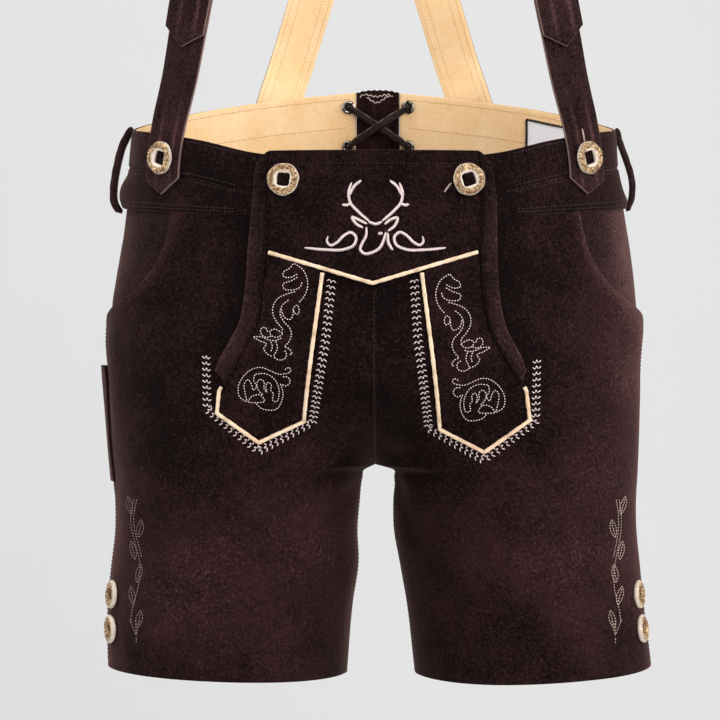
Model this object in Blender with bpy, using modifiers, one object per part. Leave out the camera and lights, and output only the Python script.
"""Lederhosen: short suede trousers with a drop-front flap and braces, worn form, hollow.

The garment is worked out from one surface, body(), which gives the outer face of the leather.
Sizes in the tables are millimetres; meshes are in metres. +Z is up and the front faces -Y, so the
wearer's left side is +X. The origin is at the wearer's waist, level with the band at the side.
"""
import bmesh
import bpy
import numpy as np
from mathutils import Vector

MM = 0.001
NAME = "lederhosen"
LEFT, RIGHT = 1, -1
SIDES = ((LEFT, "left"), (RIGHT, "right"))

# Leather and gaps
LEATHER = 1.8           # suede wall
LINING = 1.2            # cream lining leather
SEAM = 0.3              # gap between pieces sewn edge to edge
LAY = 0.5               # gap under a piece that lies on another
BAND_LIFT = 1.0         # waistband strips stand this far out of the panels
CENTRE_SEAM = 0.2       # half the gap down the centre seams

# Shape of the seat
HIP_SQUARE = 0.9        # under 1 makes the hip section squarer than an ellipse
FORK_TOP = -165.0       # height where the legs begin to part
FORK = -252.0           # height of the crotch
LEG_TOP = -300.0        # height below which each leg is a plain ring
HEM = -405.0
SEAM_REACH = 0.07       # how far in t the curve of the centre seam is felt


def table(columns, *rows):
    """Named columns, with a row for each section; the first column is the place along it."""
    return dict(zip(columns.split(), np.array(sorted(rows), float).T))


HIPS = table(
    "height half_width front back",
    (60, 176, 116, 119),
    (0, 180, 121, 123),
    (-60, 186, 126, 131),
    (-120, 194, 129, 144),
    (-180, 199, 128, 150),
    (-252, 198, 121, 146),
    (-300, 196, 112, 134),
)
TUCK = {                 # the waistband is drawn in this much at the sides
    LEFT: table("height in", (60, 0.6), (0, 1.6), (-28, 2.9), (-42, 2.2), (-60, 0), (-90, 0)),
    RIGHT: table("height in", (60, 0), (-90, 0)),
}
PUFF = {                 # and its lower strip stands out this much there
    LEFT: table("height out", (-30, 0), (-42, 0.2), (-50, 0.8), (-55, 1.6), (-60, 0.8)),
    RIGHT: table("height out", (-31, 0), (-36, 0.2), (-41, 2.6), (-46, 4.4), (-54, 4.4), (-60, 2.0)),
}
PUFF_REACH = 0.09        # as far as this t to each side
LEG_LEFT = table(
    "height outer inner front back",
    (-165, 199, 0.2, -123, 146),
    (-215, 199, 0.2, -119, 135),
    (-252, 197.5, 0.2, -113, 124),
    (-255.5, 197.3, 9, -112, 123),
    (-262, 196.8, 12.5, -110, 120),
    (-280, 195.8, 13, -105, 114),
    (-300, 196, 14, -101, 109),
    (-325, 198, 18.5, -97, 104),
    (-355, 200.5, 24, -94, 100),
    (-405, 206.5, 30, -91, 97),
)
LEG_RIGHT = table(
    "height outer inner front back",
    (-165, 199, 0.2, -123, 146),
    (-215, 199, 0.2, -119, 135),
    (-252, 196.8, 0.2, -113, 124),
    (-255.5, 196.5, 4.2, -112, 123),
    (-262, 196, 8.4, -110, 120),
    (-280, 195.2, 12, -105, 114),
    (-300, 195.2, 13.5, -101, 109),
    (-325, 198, 12.5, -97, 104),
    (-355, 200.5, 16.5, -94, 100),
    (-405, 200.5, 20.5, -91, 97),
)
# Waistband edges round the body: t is 0 at the centre front, 0.5 at the side, 1 at the centre back
BAND = table(
    "t top bottom",
    (0, -31, -73),
    (0.14, -27, -71),
    (0.225, -17, -69),
    (0.35, -8, -65),
    (0.5, -1, -60),
    (0.6, 6, -54),
    (0.72, 17.5, -44),
    (0.85, 29, -34),
    (1, 39.2, -27),
)
BAND_SPLIT = 28.5       # depth of the upper strip
BACK_SLIT = {LEFT: 20.0, RIGHT: 14.4}    # from the centre back to each end of the band
HEM_DROP = {             # height added to the hem round each leg
    LEFT: table("t rise", (0, -2.6), (0.16, -3.6), (0.33, 0), (0.5, 2.8), (0.75, 0.5), (1, -2.6)),
    RIGHT: table("t rise", (0, -3), (0.13, -2.4), (0.3, 0.6), (0.5, 2.5), (0.75, 0.5), (1, -3)),
}
HEM_REACH = 50.0         # the slant of the hem is felt this far up

# Curved mouth of the front pocket: t where the front panel ends at each height
MOUTH = table(
    "height t",
    (-60, 0.270),
    (-80, 0.274),
    (-95, 0.281),
    (-108, 0.298),
    (-118, 0.322),
    (-127, 0.358),
    (-134, 0.405),
    (-139.5, 0.455),
    (-142.5, 0.5),
)
MOUTH_BOTTOM = -142.5
MOUTH_LIFT = 3.7        # the mouth stands this far off the facing
MOUTH_REACH = 50.0      # and settles back over this distance
ARC = 500.0             # length round the body for one unit of t
FACING_LIFT = -0.4
FACING_THICK = 1.4

# Flap side band: outer edge and width by height, as seen from the front
FLAP_BAND = {
    LEFT: table(
        "height outer width",
        (-26, 77.5, 7.0),
        (-40, 81.4, 8.5),
        (-61, 84.3, 10.5),
        (-89, 84.7, 11.5),
        (-117.5, 85.6, 11.2),
        (-139, 88.4, 11.6),
        (-153, 92.2, 11.8),
        (-167, 99.8, 12.2),
        (-184.5, 107.3, 8.5),
        (-192, 109.5, 5.5),
    ),
    RIGHT: table(
        "height outer width",
        (-26, 81, 7.5),
        (-36, 83.8, 8.7),
        (-61, 86.4, 11.0),
        (-96, 89.8, 12.4),
        (-124.5, 91.9, 11.6),
        (-150, 97.2, 12.8),
        (-161, 103.2, 12.6),
        (-175, 111, 13.2),
        (-183, 113.8, 11.5),
        (-192, 113.8, 6.5),
    ),
}
FLAP_TOP = -26.0
FLAP_TIP = -191.5
FLAP_HEM = 8.0          # depth of the turned edge along the top
YOKE_POINT = -120.0     # height of the V at the centre
YOKE_SLOPE = 0.30       # rise of the V towards the sides
YOKE_X = -2.5           # the flap sits this far off the centre
YOKE_ENDS = (-75.2, 71.2)
PIPING = 1.4            # radius of the cream piping
# Corners of each tab as distance from the centre and height: top and foot of its inner edge,
# its point, then foot and top of its outer edge
TAB = {
    LEFT: ((32.0, -112.7), (46.2, -222.3), (77.7, -239.8), (109.2, -216.7), (106.3, -195.6)),
    RIGHT: ((37.5, -112.7), (51.7, -216.7), (83.7, -232.8), (112.6, -211.7), (110.8, -195.6)),
}

YOKE_THICK = 2.0
YOKE_HEM = 0.8          # extra thickness of the turned edge
SIDE_BAND_THICK = 2.8
SIDE_BAND_CROWN = 0.6   # rounding of the side band across its width
TAB_THICK = 1.6

# Buttons: a ring profile of (radius, height), and where each pair sits
BUTTON_PROFILE = ((4.2, 4.2), (7.0, 5.0), (10.4, 4.6), (12.0, 2.6), (10.8, 0.4), (4.2, 0.0))
THONG = (5.0, 5.0, 3.4)
STRAP_BUTTON = -28.0            # height on the front strap
FLAP_BUTTON = (64.1, -47.0)     # x and height on the front
BACK_BUTTON = (80.5, 9.0)       # x and height on the back
HEM_BUTTONS = (("upper", -347.0), ("lower", -372.5))
HEM_BUTTON_T = 0.438


def read(source, column, where):
    """Smooth curve through a column: cubic pieces whose slopes are those of their neighbours."""
    places = next(iter(source.values()))
    values = source[column]
    slopes = np.gradient(values, places)
    where = np.clip(where, places[0], places[-1])
    k = np.clip(np.searchsorted(places, where) - 1, 0, len(places) - 2)
    step = places[k + 1] - places[k]
    s = (where - places[k]) / step
    start = (1 + 2 * s) * (1 - s) ** 2 * values[k] + s * (1 - s) ** 2 * step * slopes[k]
    end = s**2 * (3 - 2 * s) * values[k + 1] + s**2 * (s - 1) * step * slopes[k + 1]
    return start + end


def unit(vectors):
    return vectors / np.linalg.norm(vectors, axis=-1, keepdims=True)


def fork_angle(height):
    """0 above the fork, a right angle at the crotch: the rise is a quarter of an ellipse."""
    return np.arcsin(np.clip((FORK_TOP - height) / (FORK_TOP - FORK), 0, 1))


def leg_share(t, height):
    """0 on the hips, 1 on the legs: an ellipse at the centre seams, an even change elsewhere."""
    fall = np.clip((FORK_TOP - height) / (FORK_TOP - LEG_TOP), 0, 1)
    even = fall**2 * (3 - 2 * fall)
    seam = 1 - np.cos(fork_angle(height))
    near = np.exp(-((np.minimum(t, 1 - t) / SEAM_REACH) ** 2))
    return even + near * (seam - even)


def body(side, t, height):
    """Outer face: a squared half ellipse round the hips that turns into a ring round each leg."""
    side, t, height = np.broadcast_arrays(*(np.asarray(v, float) for v in (side, t, height)))
    turn = np.pi * t
    depth = np.where(t < 0.5, read(HIPS, "front", height), read(HIPS, "back", height))
    across = np.clip(np.sin(turn), 0, 1) ** HIP_SQUARE
    tuck = np.where(side > 0, read(TUCK[LEFT], "in", height), read(TUCK[RIGHT], "in", height))
    hip_x = CENTRE_SEAM + (read(HIPS, "half_width", height) - tuck * across**6) * across
    hip_y = -depth * np.cos(turn)

    def leg(column):
        return np.where(side > 0, read(LEG_LEFT, column, height), read(LEG_RIGHT, column, height))

    outer, inner, front, back = (leg(c) for c in ("outer", "inner", "front", "back"))
    inner = np.where(height > FORK, CENTRE_SEAM, np.maximum(inner, CENTRE_SEAM))
    leg_x = (outer + inner) / 2 - (outer - inner) / 2 * np.cos(2 * turn)
    leg_y = (front + back) / 2 - (back - front) / 2 * np.sin(2 * turn)
    share = leg_share(t, height)
    x = hip_x + share * (leg_x - hip_x)
    y = hip_y + share * (leg_y - hip_y)
    return np.stack([side * x, y, height], axis=-1)


def facing(side, t, height):
    """Outward normals of body(), from short steps round it and up it."""
    side, t, height = np.broadcast_arrays(*(np.asarray(v, float) for v in (side, t, height)))
    round_it = body(side, np.clip(t + 0.004, 0, 1), height) - body(side, np.clip(t - 0.004, 0, 1), height)
    up_it = body(side, t, height + 1.0) - body(side, t, height - 1.0)
    return unit(np.cross(round_it, up_it) * side[..., None])


def centre_normals(side, front, height):
    """Normals down the centre seam and the inseam, shared by the panels that meet there."""
    angle = fork_angle(height)
    y_fork = body(side, 0.0, np.full_like(height, FORK))[..., 1]
    depth = read(HIPS, "front" if front else "back", height)
    across = (depth + (y_fork if front else -y_fork)) * np.sin(angle)
    rise = (FORK_TOP - FORK) * np.cos(angle)
    above = np.stack([0 * height, -rise if front else rise, -across], axis=-1)
    lean = np.abs(body(side, 0.0, height + 1)[..., 0]) - np.abs(body(side, 0.0, height - 1)[..., 0])
    below = np.stack([np.full_like(height, -side), 0 * height, lean / 2], axis=-1)
    return unit(np.where((height >= FORK)[..., None], above, below))


def find_t(x, height, front=True):
    """The t at which the body passes a given x, by halving."""
    x, height = np.broadcast_arrays(np.asarray(x, float), np.asarray(height, float))
    side = np.where(x < 0, RIGHT, LEFT)
    low = np.zeros_like(x) if front else np.ones_like(x)
    high = np.full_like(x, 0.5)
    for _ in range(30):
        middle = (low + high) / 2
        inside = np.abs(body(side, middle, height)[..., 0]) < np.abs(x)
        low = np.where(inside, middle, low)
        high = np.where(inside, high, middle)
    return (low + high) / 2


def on_body(x, height, front=True):
    """Points and normals of the body at places seen from the front or the back."""
    x, height = np.broadcast_arrays(np.asarray(x, float), np.asarray(height, float))
    side = np.where(x < 0, RIGHT, LEFT)
    t = find_t(x, height, front)
    return body(side, t, height), facing(side, t, height)


# ---------------------------------------------------------------- meshes and finishes

def finish(name, colour, roughness, metallic=0.0):
    material = bpy.data.materials.new(name)
    material.use_nodes = True
    shader = material.node_tree.nodes["Principled BSDF"]
    shader.inputs["Base Color"].default_value = (*colour, 1)
    shader.inputs["Roughness"].default_value = roughness
    shader.inputs["Metallic"].default_value = metallic
    material.diffuse_color = (*colour, 1)
    return material


def make_finishes():
    return {
        "suede": finish("dark brown suede", (0.030, 0.017, 0.014), 0.95),
        "cream": finish("cream lining leather", (0.80, 0.60, 0.33), 0.75),
        "piping": finish("cream piping", (0.72, 0.50, 0.26), 0.7),
        "horn": finish("staghorn", (0.62, 0.50, 0.34), 0.4),
        "steel": finish("dark eyelet steel", (0.20, 0.18, 0.16), 0.35, 1.0),
        "tape": finish("white label tape", (0.85, 0.85, 0.84), 0.8),
    }


def add_object(name, data, material):
    made = bpy.data.objects.new(name, data)
    bpy.data.collections[NAME].objects.link(made)
    data.materials.append(material)
    return made


def inset(points, gap):
    """Moves the four edges of a grid in, so that neighbours cut on the same line stay apart."""
    moved = points.copy()
    for edge, inner in ((0, 1), (-1, -2)):
        moved[edge] += unit(points[inner] - points[edge]) * gap
    across = moved.copy()
    for edge, inner in ((0, 1), (-1, -2)):
        moved[:, edge] += unit(across[:, inner] - across[:, edge]) * gap
    return moved


def wall(name, material, points, normals, lift=0.0, thick=LEATHER, gap=SEAM / 2):
    """A closed leather wall on a grid of points: lift is the height of its outer face."""
    points = inset(points, gap) if gap else points
    rows, columns = points.shape[:2]
    top = np.broadcast_to(np.asarray(lift, float), (rows, columns))[..., None]
    floor = np.broadcast_to(np.asarray(lift - thick, float), (rows, columns))[..., None]
    layers = np.stack([points + normals * top, points + normals * floor])
    index = np.arange(2 * rows * columns).reshape(2, rows, columns)
    outer, inner = index

    def quads(a, b):
        return np.stack([a[:-1], a[1:], b[1:], b[:-1]], axis=-1)

    faces = [
        np.stack([g[:-1, :-1], g[1:, :-1], g[1:, 1:], g[:-1, 1:]], axis=-1).reshape(-1, 4)
        for g in (outer, inner)
    ]
    for edge in ((slice(None), 0), (slice(None), -1), (0, slice(None)), (-1, slice(None))):
        faces.append(quads(outer[edge], inner[edge]))
    mesh = bpy.data.meshes.new(name)
    mesh.from_pydata((layers.reshape(-1, 3) * MM).tolist(), [], np.concatenate(faces).tolist())
    shape = bmesh.new()
    shape.from_mesh(mesh)
    bmesh.ops.recalc_face_normals(shape, faces=shape.faces)
    shape.to_mesh(mesh)
    shape.free()
    mesh.shade_smooth()
    mesh.set_sharp_from_angle(angle=np.radians(50))
    return add_object(name, mesh, material)


def tube(name, material, points, radius, sides=1, closed=False):
    """A round cord on a chain of points."""
    curve = bpy.data.curves.new(name, "CURVE")
    curve.dimensions = "3D"
    curve.bevel_depth = radius * MM
    curve.bevel_resolution = sides
    curve.use_fill_caps = not closed
    chain = curve.splines.new("POLY")
    chain.points.add(len(points) - 1)
    chain.points.foreach_set("co", np.c_[points * MM, np.ones(len(points))].ravel())
    chain.use_cyclic_u = closed
    return add_object(name, curve, material)


def turned(name, material, profile, place, normal, steps=16):
    """A closed ring profile of (radius, height) turned about its own Z and set on a normal."""
    points = [(r * MM, 0, z * MM) for r, z in profile]
    edges = [(i, (i + 1) % len(points)) for i in range(len(points))]
    mesh = bpy.data.meshes.new(name)
    mesh.from_pydata(points, edges, [])
    made = add_object(name, mesh, material)
    screw = made.modifiers.new("turn", "SCREW")
    screw.steps = screw.render_steps = steps
    screw.use_merge_vertices = True
    screw.merge_threshold = 0.00001
    made.location = Vector(place * MM)
    made.rotation_mode = "QUATERNION"
    made.rotation_quaternion = Vector(normal).to_track_quat("Z", "Y")
    return made


# ---------------------------------------------------------------- panels

def level_rows():
    """Heights below the pocket mouth: close together round the crotch."""
    fork = FORK_TOP - (FORK_TOP - FORK) * np.sin(np.linspace(0, np.pi / 2, 7))
    under = np.array([FORK - 3.5, FORK - 10, FORK - 20])
    leg = np.linspace(FORK - 38, HEM, 6)
    return np.concatenate([[-153.5], fork, under, leg])


def mouth_lift(t, height):
    """How far the front panel stands off beside the pocket mouth."""
    heights = np.linspace(MOUTH_BOTTOM, -62, 40)
    ends = read(MOUTH, "t", heights)
    gap = np.hypot((t[..., None] - ends) * ARC, height[..., None] - heights).min(axis=-1)
    near = np.clip(gap / MOUTH_REACH, 0, 1)
    return MOUTH_LIFT * (0.5 + 0.5 * np.cos(np.pi * near))


def slant_hem(side, t, height):
    """Tips the hem of a leg: lower at the inside than at the outside."""
    share = np.clip((HEM + HEM_REACH - height) / HEM_REACH, 0, 1)
    return height + share * read(HEM_DROP[side], "rise", t)


def front_panel(side, name, looks):
    """Centre front to the side seam, its upper outer corner cut away along the pocket mouth."""
    outer_top = np.array([-66.5, -80, -93, -105, -115, -123.5, -131, -137, MOUTH_BOTTOM])
    centre_top = np.linspace(read(BAND, "bottom", 0.0), MOUTH_BOTTOM, len(outer_top))
    below = level_rows()
    outer = np.concatenate([outer_top, below])
    centre = np.concatenate([centre_top, below])
    end = np.where(outer > MOUTH_BOTTOM, read(MOUTH, "t", outer), 0.5)
    u = np.linspace(0, 1, 12)
    t = end[:, None] * u
    height = centre[:, None] + (outer - centre)[:, None] * u
    height[0] = read(BAND, "bottom", t[0])
    height = slant_hem(side, t, height)
    points, normals = body(side, t, height), facing(side, t, height)
    normals[:, 0] = centre_normals(side, True, centre)
    wall(f"front_panel_{name}", looks["suede"], points, normals, mouth_lift(t, height))


def back_panel(side, name, looks):
    """Side seam to the centre back."""
    t = np.linspace(0.5, 1, 13)
    share = np.linspace(0, 1, 6)[:-1, None]
    top = read(BAND, "bottom", t)
    height = np.concatenate([
        top + share * (MOUTH_BOTTOM - top),
        np.concatenate([[MOUTH_BOTTOM], level_rows()])[:, None] + 0 * t,
    ])
    t = np.broadcast_to(t, height.shape)
    height = slant_hem(side, t, height)
    points, normals = body(side, t, height), facing(side, t, height)
    normals[:, -1] = centre_normals(side, False, height[:, -1])
    wall(f"back_panel_{name}", looks["suede"], points, normals)


def pocket_facing(side, name, looks):
    """The piece seen behind the pocket mouth, sewn to the back panel at the side."""
    outer = np.linspace(-62, -152, 9)
    start = np.minimum(read(MOUTH, "t", outer), 0.42) - 0.03
    u = np.linspace(0, 1, 6)
    t = start[:, None] + (0.5 - start)[:, None] * u
    top = read(BAND, "bottom", t[0])
    share = (outer - outer[0]) / (outer[-1] - outer[0])
    height = top + share[:, None] * (outer[-1] - top)
    points, normals = body(side, t, height), facing(side, t, height)
    wall(f"pocket_facing_{name}", looks["suede"], points, normals, FACING_LIFT, FACING_THICK)


# ---------------------------------------------------------------- waistband and back lacing

EYELET_X = {LEFT: 26.8, RIGHT: 20.6}
EYELET_HEIGHTS = (26.2, -5.0)
EYELET_HOLE = 3.6       # radius cut through the band and its lining
EYELET_PROFILE = (
    (2.7, 1.9), (5.4, 1.6), (5.4, 1.1), (3.2, 1.1),
    (3.2, -3.0), (5.4, -3.0), (5.4, -3.5), (2.7, -3.8),
)
LACE = 2.1              # radius of the lace
LINING_LIFT = BAND_LIFT - LEATHER - 0.35
GUSSET_TOP = 39.8
GUSSET_FOLD = 1.0       # depth of its soft folds
GUSSET_THICK = 1.4
LABEL_X = (121, 160)
LABEL_TOP = 14.5        # height of its inner upper corner
LABEL_SLOPE = -0.28
LABEL_DEEP = 35.0
LABEL_THICK = 0.8


def band_ts(side, count=22):
    """Places round a half waistband, from the centre front to the back slit."""
    slit = float(find_t(side * BACK_SLIT[side], 10.0, front=False))
    return np.linspace(0, slit, count)


def puff(side, t, height):
    return read(PUFF[side], "out", height) * np.exp(-(((t - 0.5) / PUFF_REACH) ** 2))


def band_grid(side, top, bottom, t, rows=3):
    height = top + np.linspace(0, 1, rows)[:, None] * (bottom - top)
    t = np.broadcast_to(t, height.shape)
    return body(side, t, height), facing(side, t, height)


def cut_eyelets(target, cutters):
    for cutter in cutters:
        cut = target.modifiers.new("eyelet hole", "BOOLEAN")
        cut.operation = "DIFFERENCE"
        cut.solver = "EXACT"
        cut.object = cutter


def eyelet_cutters(side, name):
    made = []
    for level, height in zip(("upper", "lower"), EYELET_HEIGHTS):
        place, normal = on_body(side * EYELET_X[side], height, front=False)
        bpy.ops.mesh.primitive_cylinder_add(vertices=16, radius=EYELET_HOLE * MM, depth=20 * MM)
        cutter = bpy.context.object
        cutter.name = f"cutter_{level}_{name}"
        cutter.location = Vector(place * MM)
        cutter.rotation_mode = "QUATERNION"
        cutter.rotation_quaternion = Vector(normal).to_track_quat("Z", "Y")
        cutter.hide_render = True
        cutter.display_type = "WIRE"
        for home in cutter.users_collection:
            home.objects.unlink(cutter)
        bpy.data.collections["cutters"].objects.link(cutter)
        made.append(cutter)
    return made


def waistband(side, name, looks):
    """Two suede strips outside and one cream lining inside, with the eyelet holes through them."""
    t = band_ts(side)
    top, bottom = read(BAND, "top", t), read(BAND, "bottom", t)
    split = top - BAND_SPLIT
    upper_hole, lower_hole = eyelet_cutters(side, name)
    upper = wall(f"band_upper_{name}", looks["suede"], *band_grid(side, top, split, t), BAND_LIFT)
    points, normals = band_grid(side, split, bottom + SEAM, t, 6)
    lift = BAND_LIFT + puff(side, t, points[..., 2])
    lower = wall(f"band_lower_{name}", looks["suede"], points, normals, lift)
    lining = wall(
        f"band_lining_{name}", looks["cream"], *band_grid(side, top, bottom + SEAM, t, 8),
        LINING_LIFT, LINING,
    )
    cut_eyelets(upper, [upper_hole])
    cut_eyelets(lower, [lower_hole])
    cut_eyelets(lining, [upper_hole, lower_hole])


def eyelets(looks):
    for side, name in SIDES:
        for level, height in zip(("upper", "lower"), EYELET_HEIGHTS):
            place, normal = on_body(side * EYELET_X[side], height, front=False)
            turned(f"eyelet_{level}_{name}", looks["steel"], EYELET_PROFILE, place, normal, 12)


def through(points, count, closed=False):
    """Evenly spaced points on a smooth curve through the given ones."""
    points = np.asarray(points, float)
    if closed:
        points = np.concatenate([points[-2:], points, points[:3]])
    step = np.linalg.norm(np.diff(points, axis=0), axis=1)
    place = np.concatenate([[0], np.cumsum(step)])
    columns = {"place": place, **{f"c{i}": points[:, i] for i in range(points.shape[1])}}
    names = [n for n in columns if n != "place"]
    first, last = (place[2], place[-3]) if closed else (place[0], place[-1])
    fine = np.linspace(first, last, 12 * count)
    dense = np.stack([read(columns, n, fine) for n in names], axis=-1)
    run = np.concatenate([[0], np.cumsum(np.linalg.norm(np.diff(dense[:, :3], axis=0), axis=1))])
    even = np.linspace(0, run[-1], count + 1 if closed else count)
    out = np.stack([np.interp(even, run, dense[:, i]) for i in range(dense.shape[1])], axis=-1)
    return out[:-1] if closed else out


def lace(looks):
    """One closed lace: crossed inside the slit and straight across outside it."""
    high, low = EYELET_HEIGHTS

    def eyelet(side, height, inward):
        """Points through one eyelet along its own axis, going in or coming out."""
        place, normal = on_body(side * EYELET_X[side], height, front=False)
        points = [place + normal * d for d in (3.4, -0.8, -5.0)]
        return points if inward else points[::-1]

    place, _ = on_body(0.0, 10.0, front=False)
    y = place[1]
    inside, over, outside = y - 7.4, y - 12.2, y + 4.9
    middle = (high + low) / 2
    x = {side: (side * (EYELET_X[side] - 6), side * (EYELET_X[side] - 13)) for side, _ in SIDES}
    (near_l, far_l), (near_r, far_r) = x[LEFT], x[RIGHT]
    centre = (far_l + far_r) / 2
    between = (inside + over) / 2
    route = [
        *eyelet(RIGHT, high, True), (near_r, inside, high - 4), (far_r, inside, high - 8.5),
        (centre, inside, middle), (far_l, inside, low + 8.5), (near_l, inside, low + 4),
        *eyelet(LEFT, low, False), (near_l, outside, low), (centre, outside + 0.4, low),
        (near_r, outside, low), *eyelet(RIGHT, low, True), (near_r, inside, low + 4),
        (far_r, between, low + 8.5), (centre, over, middle), (far_l, between, high - 8.5),
        (near_l, inside, high - 4), *eyelet(LEFT, high, False), (near_l, outside, high),
        (centre, outside + 0.4, high), (near_r, outside, high),
    ]
    tube("lace", looks["suede"], through(route, 66, closed=True), LACE, closed=True)


def gusset(looks):
    """The suede wedge that closes the slit behind the lace, softly folded down its middle."""
    x = np.linspace(-BACK_SLIT[RIGHT] + 0.2, BACK_SLIT[LEFT] - 0.2, 9)
    middle, half = (x[0] + x[-1]) / 2, (x[-1] - x[0]) / 2
    top, bottom = GUSSET_TOP, float(read(BAND, "bottom", 1.0)) + SEAM
    height = np.linspace(top, bottom, 5)[:, None] + 0 * x
    x = np.broadcast_to(x, height.shape)
    points, normals = on_body(x, height, front=False)
    fold = GUSSET_FOLD * (np.cos(3 * np.pi * (x - middle) / half) - 0.6)
    wall("gusset", looks["suede"], points, normals, fold, GUSSET_THICK)


def label(looks):
    """A blank woven tape on the lining, under the wearer's left brace."""
    x = np.linspace(*LABEL_X, 5)
    height = LABEL_TOP + LABEL_SLOPE * (x - x[0]) - LABEL_DEEP * np.linspace(0, 1, 3)[:, None]
    points, normals = on_body(np.broadcast_to(x, height.shape), height, front=False)
    wall("label", looks["tape"], points, normals, LINING_LIFT - LINING - 0.7, LABEL_THICK, gap=0)


# ---------------------------------------------------------------- flap

def flap_floor(height):
    """Height of the flap's underside: over the waistband above, on the panels below."""
    over_band = BAND_LIFT + LAY + 0.3
    on_panel = LAY + 0.55
    share = np.clip((height + 75) / (-125 + 75), 0, 1)
    return over_band + (on_panel - over_band) * share


def vee(x):
    """Height of the seam along the yoke's V."""
    return YOKE_POINT + YOKE_SLOPE * np.abs(x - YOKE_X)


def band_inner(side, height):
    return read(FLAP_BAND[side], "outer", height) - read(FLAP_BAND[side], "width", height)


def flap_yoke(looks):
    """The plate across the front, cut to a V below."""
    u = np.linspace(-1, 1, 15)
    v = np.array([0, 0.1, 0.12, 0.3, 0.5, 0.7, 0.86, 1])[:, None]

    def across(height):
        to_left = u * (band_inner(LEFT, height) - SEAM - YOKE_X)
        to_right = u * (band_inner(RIGHT, height) - SEAM + YOKE_X)
        return YOKE_X + np.where(u > 0, to_left, to_right)

    rough = FLAP_TOP + v * (YOKE_POINT - FLAP_TOP)
    bottom = vee(across(rough * 0.8)) + PIPING + 0.4
    height = FLAP_TOP + v * (bottom - FLAP_TOP)
    height[1:3] = np.array([[FLAP_TOP - FLAP_HEM], [FLAP_TOP - FLAP_HEM - 1.2]])
    points, normals = on_body(across(height), height)
    thick = YOKE_THICK + YOKE_HEM * (height >= FLAP_TOP - FLAP_HEM)
    wall("flap_yoke", looks["suede"], points, normals, flap_floor(height) + thick, thick, gap=0)


def flap_band(side, name, looks):
    """The turned edge down the side of the flap, rounded at the top corner, pointed below."""
    s = np.linspace(0, 1, 4)
    v = np.linspace(0, 1, 14)[:, None]
    height = FLAP_TOP + v * (FLAP_TIP - FLAP_TOP) - 9 * s**2 * (1 - v) ** 6 + 10.5 * s * v**8
    outer, width = read(FLAP_BAND[side], "outer", height), read(FLAP_BAND[side], "width", height)
    x = side * (outer - width * (1 - s))
    points, normals = on_body(x, height)
    top = flap_floor(height) + SIDE_BAND_THICK + SIDE_BAND_CROWN * np.sin(np.pi * s)
    wall(f"flap_band_{name}", looks["suede"], points, normals, top, SIDE_BAND_THICK, gap=0)


def flap_tab(side, name, looks):
    """The pointed tab between the side band and the inner piping."""
    clear = PIPING + 0.35
    u = np.linspace(0, 1, 7)
    v = np.linspace(0, 1, 10)[:, None]
    (top_x, _), (foot_x, foot_z), (_, point_z), (low_x, low_z), (high_x, high_z) = TAB[side]
    low_z += 0.8
    top_inner = vee(side * top_x) - clear - 0.3
    inner_z = top_inner + v * (foot_z + 1.2 - top_inner)
    inner_x = top_x + clear + v * (foot_x - top_x)
    top_outer = vee(side * band_inner(side, -97)) - clear - 0.3
    outer_z = top_outer + v * (low_z - top_outer)
    edge_x = np.interp(-outer_z, [-high_z, -low_z], [high_x, low_x]) - clear
    outer_x = np.where(outer_z > high_z, np.minimum(band_inner(side, outer_z) - 0.9, edge_x), edge_x)
    x = inner_x + u * (outer_x - inner_x)
    straight = inner_z + u * (outer_z - inner_z)
    drop = (point_z + clear * 1.2) - (foot_z + low_z + 1.2) / 2
    height = straight + drop * (1 - np.abs(2 * u - 1)) * v**2
    points, normals = on_body(side * x, height)
    top = flap_floor(height) + TAB_THICK
    wall(f"flap_tab_{name}", looks["suede"], points, normals, top, TAB_THICK, gap=0)


def piping(looks):
    """Cream cords along the yoke's V and round the free edges of each tab."""
    right_end, left_end = YOKE_ENDS
    x = np.concatenate([np.linspace(right_end, YOKE_X, 11), np.linspace(YOKE_X, left_end, 11)[1:]])
    points, normals = on_body(x, vee(x))
    lift = (flap_floor(vee(x)) + PIPING + 0.1)[:, None]
    tube("piping_yoke", looks["piping"], points + normals * lift, PIPING)
    counts = (8, 4, 4, 2)
    for side, name in SIDES:
        corners = np.array(TAB[side])
        legs = [np.linspace(a, b, n, endpoint=False) for a, b, n in zip(corners, corners[1:], counts)]
        outline = np.concatenate([*legs, corners[-1:]])
        points, normals = on_body(side * outline[:, 0], outline[:, 1])
        lift = (flap_floor(outline[:, 1]) + PIPING + 0.1)[:, None]
        tube(f"piping_tab_{name}", looks["piping"], points + normals * lift, PIPING)


# ---------------------------------------------------------------- loops, pocket, straps

LOOP_THICK = {LEFT: 4.5, RIGHT: 5.6}
LOOP_WIDTH = 11.0
LOOP = {                 # inner face of each loop: distance from the middle, height
    LEFT: (
        (180.2, -3.5), (181.2, -10), (184.0, -18), (187.7, -28.5), (190.3, -38), (190.8, -48),
        (189.5, -55), (187.3, -59.5),
    ),
    RIGHT: (
        (181.8, -3.5), (184.4, -9), (187.0, -14.5), (189.2, -22), (191.0, -30), (192.6, -39),
        (193.4, -47), (193.2, -54), (190.0, -60.5),
    ),
}

KNIFE_T = (0.452, 0.552)
KNIFE_HEIGHTS = (-178.0, -264.0)
KNIFE_THICK = 1.5
KNIFE_BULGE = 4.2       # how far its open mouth stands out at the middle


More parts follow.
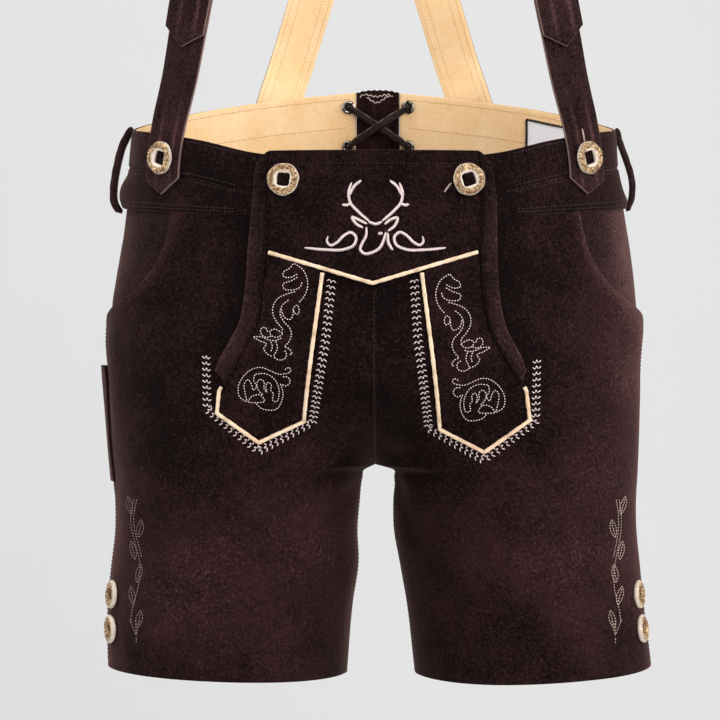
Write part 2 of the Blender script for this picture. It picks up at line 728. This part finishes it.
def belt_loop(side, name, looks):
    """A rolled loop that stands off the waistband at the side."""
    x, height = through(LOOP[side], 15).T
    on_band = body(side, 0.5, height) * side
    clear = on_band[:, 0] + BAND_LIFT + puff(side, 0.5, height) + SEAM + 0.15
    centre = np.stack([side * np.maximum(x, clear), 0 * x, height], axis=-1)
    along = unit(np.gradient(centre, axis=0))
    out = unit(np.cross(along, [0, side, 0]))
    out *= np.sign(out[:, :1] * side)
    across = np.array([[0, s * LOOP_WIDTH / 2, 0] for s in (-1, 0, 1)])
    points = centre[:, None] + across
    normals = np.broadcast_to(out[:, None], points.shape)
    thick = LOOP_THICK[side]
    wall(f"belt_loop_{name}", looks["suede"], points, normals, thick, thick, gap=0)


def knife_pocket(looks):
    """A narrow pocket on the outside of the wearer's right leg, its mouth standing open."""
    u = np.linspace(0, 1, 7)
    v = np.linspace(0, 1, 7)[:, None]
    t = KNIFE_T[0] + u * (KNIFE_T[1] - KNIFE_T[0]) + 0 * v
    height = KNIFE_HEIGHTS[0] + v * (KNIFE_HEIGHTS[1] - KNIFE_HEIGHTS[0]) + 0 * u
    stand = 0.9 - 0.35 * v + KNIFE_BULGE * np.sin(np.pi * u) ** 0.8 * (1 - v) ** 2.2
    points, normals = body(RIGHT, t, height), facing(RIGHT, t, height)
    wall("knife_pocket", looks["suede"], points, normals, stand + KNIFE_THICK, KNIFE_THICK, gap=0)


def frames(route, count):
    """Centres, directions and faces down a strap whose route is (x, y, z, out x, out y, out z)."""
    fine = through(route, count)
    centre, out = fine[:, :3], fine[:, 3:]
    along = unit(np.gradient(centre, axis=0))
    out = unit(out - (out * along).sum(axis=1, keepdims=True) * along)
    return centre, along, out


def strap(name, material, line, width, lift, thick, tips=(0, 0)):
    """A flat band down a line of frames, drawn out to a point at each end by tips."""
    centre, along, out = line
    across = np.cross(along, out)
    s = np.array([-1.0, 0.0, 1.0])
    points = centre[:, None] + across[:, None] * (s[:, None] * width / 2)
    points[0] -= along[0] * (tips[0] * (1 - np.abs(s)))[:, None]
    points[-1] += along[-1] * (tips[1] * (1 - np.abs(s)))[:, None]
    normals = np.broadcast_to(out[:, None], points.shape)
    return wall(name, material, points, normals, lift, thick, gap=0)


FRONT_STRAP = 33.0
BRACE = 35.0
STRAP_THICK = 2.4
STRAP_CLEAR = 1.6       # its underside stands this far off the band, over the flap's edge
BRACE_THICK = 1.9
BRACE_LAY = 0.4         # the back ends lie this far off the band
# Centre of each front strap by height, and how far round its face is turned from the front
FRONT_LINE = table(
    "height left_x left_turn right_x right_turn",
    (-44, 150, 38, 151.2, 41),
    (-28, 149, 38, 150.2, 41),
    (-8, 146, 37, 147.4, 40),
    (28, 136.8, 33, 138.6, 37),
    (56, 131, 30, 133.3, 34),
    (85, 125, 27, 128, 31),
    (125, 118.5, 24, 121.3, 28),
)
BAND_OUT = BAND_LIFT + LAY + 0.1


def front_line(side, heights):
    """Route of a front strap: on the waistband below, straight up and a little forward above."""
    name = dict(SIDES)[side]
    x = read(FRONT_LINE, f"{name}_x", heights)
    turn = np.radians(read(FRONT_LINE, f"{name}_turn", heights))
    on_band, _ = on_body(x, np.minimum(heights, -6))
    y = on_band[:, 1] - 0.06 * np.maximum(heights + 6, 0)
    zero = 0 * heights
    return np.stack([side * x, y, heights, side * np.sin(turn), -np.cos(turn), zero], axis=-1)


def front_strap(side, name, looks):
    heights = np.linspace(-44, 118, 12)
    lift = BAND_OUT + STRAP_CLEAR + STRAP_THICK
    line = frames(front_line(side, heights), 13)
    strap(f"strap_front_{name}", looks["suede"], line, FRONT_STRAP, lift, STRAP_THICK, (11, 0))


BACK_CROSS = 286.0
# The brace from the chest over the shoulder to the back band, for the brace that starts on the left
SHOULDER = (
    # x, y, z, then the way its face looks
    (114, -114, 215, 0.38, -0.92, 0.02),
    (102, -118, 300, 0.28, -0.95, 0.14),
    (94, -104, 368, 0.20, -0.85, 0.48),
    (88, -69, 415, 0.14, -0.50, 0.86),
    (84, -20, 437, 0.10, -0.10, 0.99),
    (79, 35, 430, 0.08, 0.45, 0.89),
    (66, 82, 392, 0.06, 0.85, 0.50),
    (40, 108, 345, 0.00, 0.98, 0.16),
    (0, 120, BACK_CROSS, 0.00, 1.00, 0.05),
    (-25, 126, 200, 0.00, 1.00, 0.00),
    (-50, 127, 112, -0.14, 0.98, 0.00),
    (-66, 124, 58, -0.24, 0.97, 0.00),
)
BACK_END = ((-73.5, 32), (-79, 14), (-88.5, -14))
CROSS_STEP = 4.8        # the right brace passes this far behind the left one
CHEST_IN = {LEFT: (6.5, 4, 1.5), RIGHT: (4.2, 2.5, 1)}  # each lies this far in at its first places


def brace(side, name, looks):
    """Long brace with its cream lining; the right one passes outside the left where they cross."""
    start = front_line(side, np.array([62.0, 85.0, 118.0]))
    start[:, :3] += start[:, 3:] * (BAND_OUT + STRAP_CLEAR + STRAP_THICK + LAY)
    middle = np.array(SHOULDER, float)
    middle[:3, 0] -= CHEST_IN[side]
    away = np.abs(middle[:, 2] - BACK_CROSS)
    cross = (middle[:, 1] > 60) * np.clip((150 - away) / 60, 0, 1)
    middle[:, 1] += (CROSS_STEP if side == RIGHT else 0.0) * cross
    x, height = np.array(BACK_END).T
    ends, normals = on_body(x, height, front=False)
    ends = np.concatenate([ends + normals * (BAND_OUT + BRACE_LAY), normals], axis=1)
    middle[:, (0, 3)] *= side
    ends[:, (0, 3)] *= side
    route = np.concatenate([start, middle, ends])
    under = LINING + SEAM
    line = frames(route, 44)
    lined = tuple(part[2:] for part in line)
    strap(f"brace_{name}", looks["suede"], line, BRACE, under + BRACE_THICK, BRACE_THICK, (12, 11))
    strap(f"brace_lining_{name}", looks["cream"], lined, BRACE - 0.2, LINING, LINING, (0, 10.5))


def button(name, looks, place, normal, scale=1.0):
    """A staghorn ring and the leather thong that fills its middle."""
    ring = [(r * scale, z * scale) for r, z in BUTTON_PROFILE]
    turned(f"button_{name}", looks["horn"], ring, place, normal)
    bpy.ops.mesh.primitive_cube_add(size=1)
    thong = bpy.context.object
    thong.name = f"thong_{name}"
    thong.data.name = thong.name
    size = np.array(THONG) * scale * MM
    places = np.empty(24)
    thong.data.vertices.foreach_get("co", places)
    places = places.reshape(-1, 3) * size + (0, 0, size[2] / 2 + 0.0002)
    thong.data.vertices.foreach_set("co", places.ravel())
    thong.location = Vector(place * MM)
    thong.rotation_mode = "QUATERNION"
    thong.rotation_quaternion = Vector(normal).to_track_quat("Z", "Y")
    thong.data.materials.append(looks["suede"])
    for home in thong.users_collection:
        home.objects.unlink(thong)
    bpy.data.collections[NAME].objects.link(thong)


def buttons(looks):
    """Each button stands a little off the leather under it, as its thong lets it."""
    flap_x, flap_height = FLAP_BUTTON
    back_x, back_height = BACK_BUTTON
    for side, name in SIDES:
        line = front_line(side, np.array([STRAP_BUTTON]))[0]
        out = BAND_OUT + STRAP_CLEAR + STRAP_THICK + 0.8
        button(f"strap_{name}", looks, line[:3] + line[3:] * out, line[3:])
        place, normal = on_body(side * flap_x, flap_height)
        out = flap_floor(flap_height) + YOKE_THICK + 0.95
        button(f"flap_{name}", looks, place + normal * out, normal, 0.97)
        for level, height in HEM_BUTTONS:
            place, normal = body(side, HEM_BUTTON_T, height), facing(side, HEM_BUTTON_T, height)
            button(f"hem_{level}_{name}", looks, place - normal * 0.35, normal, 0.88)
        place, normal = on_body(side * back_x, back_height, front=False)
        out = BAND_OUT + BRACE_LAY + LINING + SEAM + BRACE_THICK + 0.5
        button(f"back_{name}", looks, place + normal * out, normal)


def main():
    for thing in list(bpy.data.objects):
        bpy.data.objects.remove(thing)
    for collection in (NAME, "cutters"):
        bpy.context.scene.collection.children.link(bpy.data.collections.new(collection))
    looks = make_finishes()
    for side, name in SIDES:
        front_panel(side, name, looks)
        back_panel(side, name, looks)
        pocket_facing(side, name, looks)
        waistband(side, name, looks)
        flap_band(side, name, looks)
        flap_tab(side, name, looks)
        belt_loop(side, name, looks)
        front_strap(side, name, looks)
        brace(side, name, looks)
    eyelets(looks)
    lace(looks)
    gusset(looks)
    label(looks)
    flap_yoke(looks)
    piping(looks)
    knife_pocket(looks)
    buttons(looks)


main()
